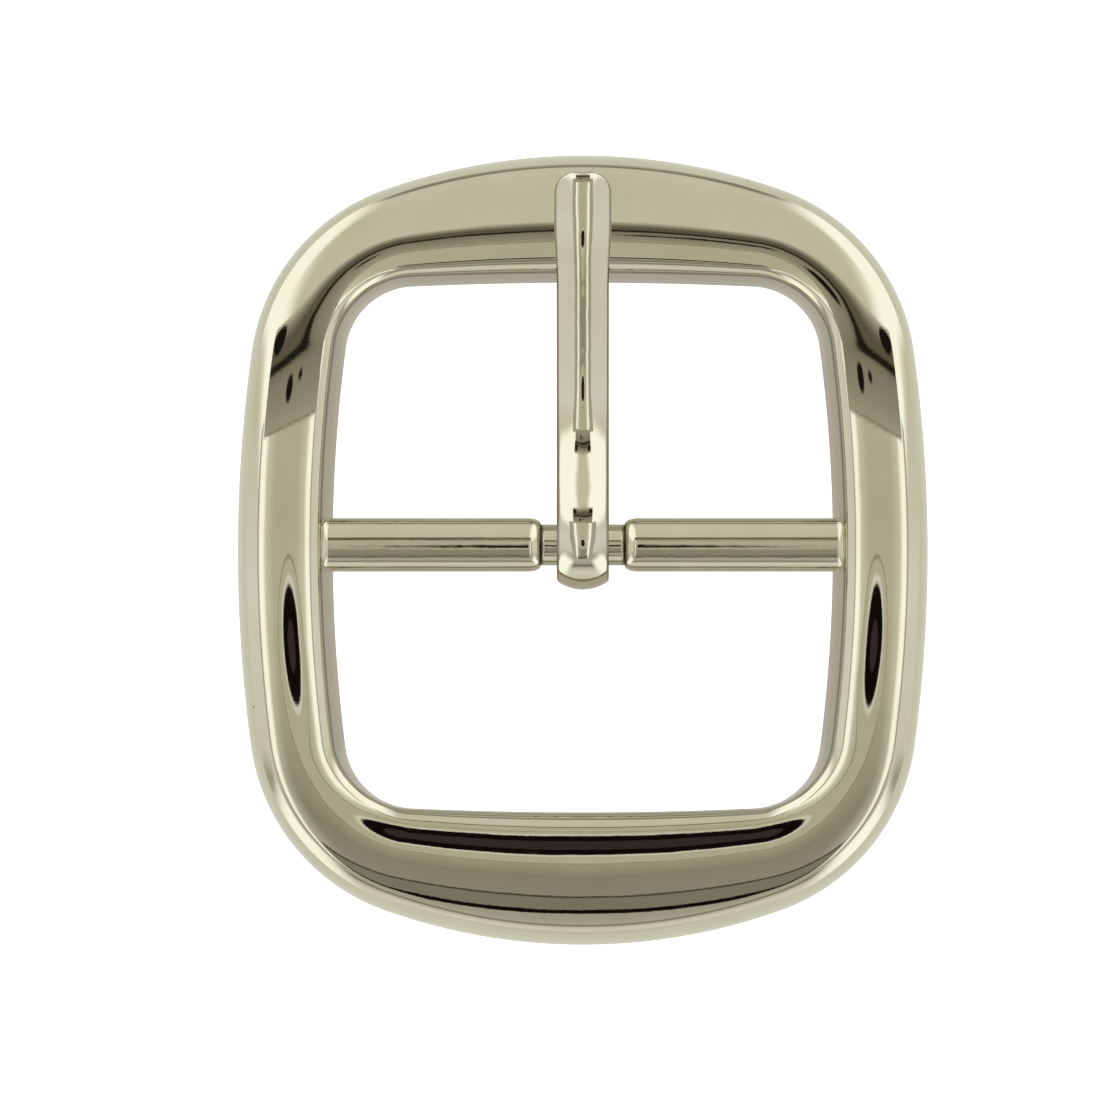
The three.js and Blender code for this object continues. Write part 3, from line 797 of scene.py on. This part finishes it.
    def make_tent(self, context):
        """The light tent all round: cream above the upper end, greyer towards the lower end, and bright
        between and at the corners. The places of the stops are the direction's Y, from -1 to 1."""
        world = bpy.data.worlds.new("tent")
        context.scene.world = world
        world.use_nodes = True
        tree = world.node_tree
        tree.nodes.clear()
        way = add_node(tree, "TexCoord").outputs["Generated"]
        axes = add_node(tree, "SeparateXYZ", links={0: way})
        stops = [
            (-1.0, (0.66, 0.67, 0.63)), (-0.90, (0.84, 0.85, 0.80)), (-0.74, (0.62, 0.62, 0.56)),
            (-0.68, (0.34, 0.34, 0.30)), (-0.63, (0.20, 0.20, 0.17)), (-0.57, (0.44, 0.44, 0.40)),
            (-0.47, (0.52, 0.52, 0.47)), (-0.36, (0.42, 0.42, 0.38)), (-0.20, (0.76, 0.77, 0.72)),
            (0.0, (0.82, 0.84, 0.82)), (0.20, (0.71, 0.70, 0.62)), (0.40, (0.70, 0.68, 0.59)),
            (0.59, (0.74, 0.73, 0.65)), (0.90, (0.72, 0.71, 0.64)), (0.94, (0.28, 0.27, 0.23)),
            (0.97, (0.28, 0.27, 0.23)), (1.0, (0.62, 0.61, 0.55)),
        ]
        lengthwise = add_node(tree, "MapRange", values={"From Min": -1},
                              links={"Value": axes.outputs["Y"]})
        bands = add_node(tree, "ValToRGB", links={0: lengthwise.outputs[0]},
                         stops=[(place / 2 + 0.5, shade) for place, shade in stops])

        # The tent's four corners are bright. The slant of a direction, |2xy| / (x^2 + y^2), is 1 at a corner.
        # The upper corners are wide, and the lower ones are narrow and stop short of the top of the tent.
        sockets = {axis: axes.outputs[axis] for axis in "XYZ"}
        sums = (
            ("xy", "MULTIPLY", "X", "Y"), ("twice", "MULTIPLY", "xy", 2.0), ("product", "ABSOLUTE", "twice"),
            ("xx", "MULTIPLY", "X", "X"), ("yy", "MULTIPLY", "Y", "Y"), ("flat", "ADD", "xx", "yy"),
            ("safe", "MAXIMUM", "flat", 1e-4), ("slant", "DIVIDE", "product", "safe"),
            ("wide", "STEP", "slant", 0.45, 0.85), ("narrow", "STEP", "slant", 0.75, 0.98),
            ("low", "STEP", "Z", 0.90, 0.75), ("upper", "STEP", "Y", -0.02, 0.1),
            ("lower", "SUBTRACT", 1.0, "upper"), ("narrow_low", "MULTIPLY", "narrow", "low"),
            ("lower_corners", "MULTIPLY", "narrow_low", "lower"),
            ("upper_corners", "MULTIPLY", "wide", "upper"),
            ("corners", "ADD", "upper_corners", "lower_corners"),
        )
        for name, operation, *sources in sums:
            is_step = operation == "STEP"
            kind = "MapRange" if is_step else "Math"
            settings = {"interpolation_type": "SMOOTHSTEP"} if is_step else {"operation": operation}
            numbers = {i: source for i, source in enumerate(sources) if source not in sockets}
            links = {i: sockets[source] for i, source in enumerate(sources) if source in sockets}
            sockets[name] = add_node(tree, kind, settings, numbers, links).outputs[0]
        lit = add_node(tree, "Mix", {"data_type": "RGBA"}, {7: (1.28, 1.33, 1.32, 1)},
                       {0: sockets["corners"], 6: bands.outputs["Color"]})
        below = add_node(tree, "MapRange", values={"From Min": 0.0, "From Max": -0.05},
                         links={"Value": axes.outputs["Z"]})
        whole = add_node(tree, "Mix", {"data_type": "RGBA"}, {7: (0.95, 0.95, 0.93, 1)},
                         {0: below.outputs[0], 6: lit.outputs[2]})
        light = add_node(tree, "Background", links={"Color": whole.outputs[2]})
        add_node(tree, "OutputWorld", links={"Surface": light.outputs["Background"]})


# ---------- The pieces ----------

class BUCKLE_OT_frame(bpy.types.Operator):
    """Makes the ring frame, with the fillets that lead into the bar"""
    bl_idname = "buckle.frame"
    bl_label = "Ring frame"

    def execute(self, context):
        s = sizes_in_mm(context.scene.buckle_frame)
        bar = sizes_in_mm(context.scene.buckle_bar)
        finish = nickel_plate("polished_nickel_plate", context.scene.buckle_finish, roughness=0.02,
                              ripple=0.008, ripple_size=6.0, scratch=0.0002, grain=(1, 6, 1))
        points, tarnish = frame_grid(s)
        shells = [(points, True, tarnish)]
        shells += [(fillet_grid(bar, s, side), True, 0) for side in (1, -1)]
        make_piece("ring_frame", shells, "frame", "frame", finish)
        return {"FINISHED"}


class BUCKLE_OT_bar(bpy.types.Operator):
    """Makes the centre bar with its neck"""
    bl_idname = "buckle.bar"
    bl_label = "Centre bar"

    def execute(self, context):
        s = sizes_in_mm(context.scene.buckle_bar)
        finish = nickel_plate("bright_nickel_bar", context.scene.buckle_finish, roughness=0.025,
                              ripple=0.008, ripple_size=2.2, scratch=0.003, grain=(0.05, 4, 4))
        points, tarnish = bar_grid(s, sizes_in_mm(context.scene.buckle_frame).opening_width / 2 + BAR_END)
        make_piece("neck_bar", [(points, False, tarnish)], "frame", "centre_bar", finish)
        return {"FINISHED"}


class BUCKLE_OT_tongue(bpy.types.Operator):
    """Makes the tongue that swings on the bar's neck"""
    bl_idname = "buckle.tongue"
    bl_label = "Tongue"

    def execute(self, context):
        s = sizes_in_mm(context.scene.buckle_tongue)
        height = sizes_in_mm(context.scene.buckle_bar).axis_height
        finish = nickel_plate("bright_nickel_tongue", context.scene.buckle_finish, roughness=0.03,
                              ripple=0.014, ripple_size=1.8, scratch=0.0008, grain=(3, 0.4, 1))
        points, tarnish = tongue_grid(s, height)
        make_piece("tongue_strip", [(points, False, tarnish)], "tongue", "tongue", finish)
        return {"FINISHED"}


class BUCKLE_PT_panel(bpy.types.Panel):
    """The sizes and colours of each piece, and the operators that make them"""
    bl_label = "Belt buckle"
    bl_idname = "BUCKLE_PT_panel"
    bl_space_type = "VIEW_3D"
    bl_region_type = "UI"
    bl_category = "Buckle"

    def draw(self, context):
        for group, operator in PANEL_ROWS:
            box = self.layout.box()
            settings = getattr(context.scene, group)
            for name in settings.__annotations__:
                box.prop(settings, name)
            if operator:
                box.operator(operator)


PANEL_ROWS = (
    ("buckle_finish", None),
    ("buckle_stage", "buckle.stage"),
    ("buckle_frame", "buckle.frame"),
    ("buckle_bar", "buckle.bar"),
    ("buckle_tongue", "buckle.tongue"),
)
GROUPS = {
    "buckle_finish": BuckleFinish,
    "buckle_stage": BuckleStage,
    "buckle_frame": BuckleFrameSizes,
    "buckle_bar": BuckleBarSizes,
    "buckle_tongue": BuckleTongueSizes,
}
CLASSES = (*GROUPS.values(), BUCKLE_OT_stage, BUCKLE_OT_frame, BUCKLE_OT_bar, BUCKLE_OT_tongue,
           BUCKLE_PT_panel)


def register():
    for made in CLASSES:
        bpy.utils.register_class(made)
    for name, group in GROUPS.items():
        setattr(bpy.types.Scene, name, PointerProperty(type=group))


def unregister():
    for name in GROUPS:
        delattr(bpy.types.Scene, name)
    for made in reversed(CLASSES):
        bpy.utils.unregister_class(made)


def main():
    """Makes the whole buckle on its stage."""
    register()
    bpy.ops.buckle.stage()
    bpy.ops.buckle.frame()
    bpy.ops.buckle.bar()
    bpy.ops.buckle.tongue()


if __name__ == "__main__":
    main()
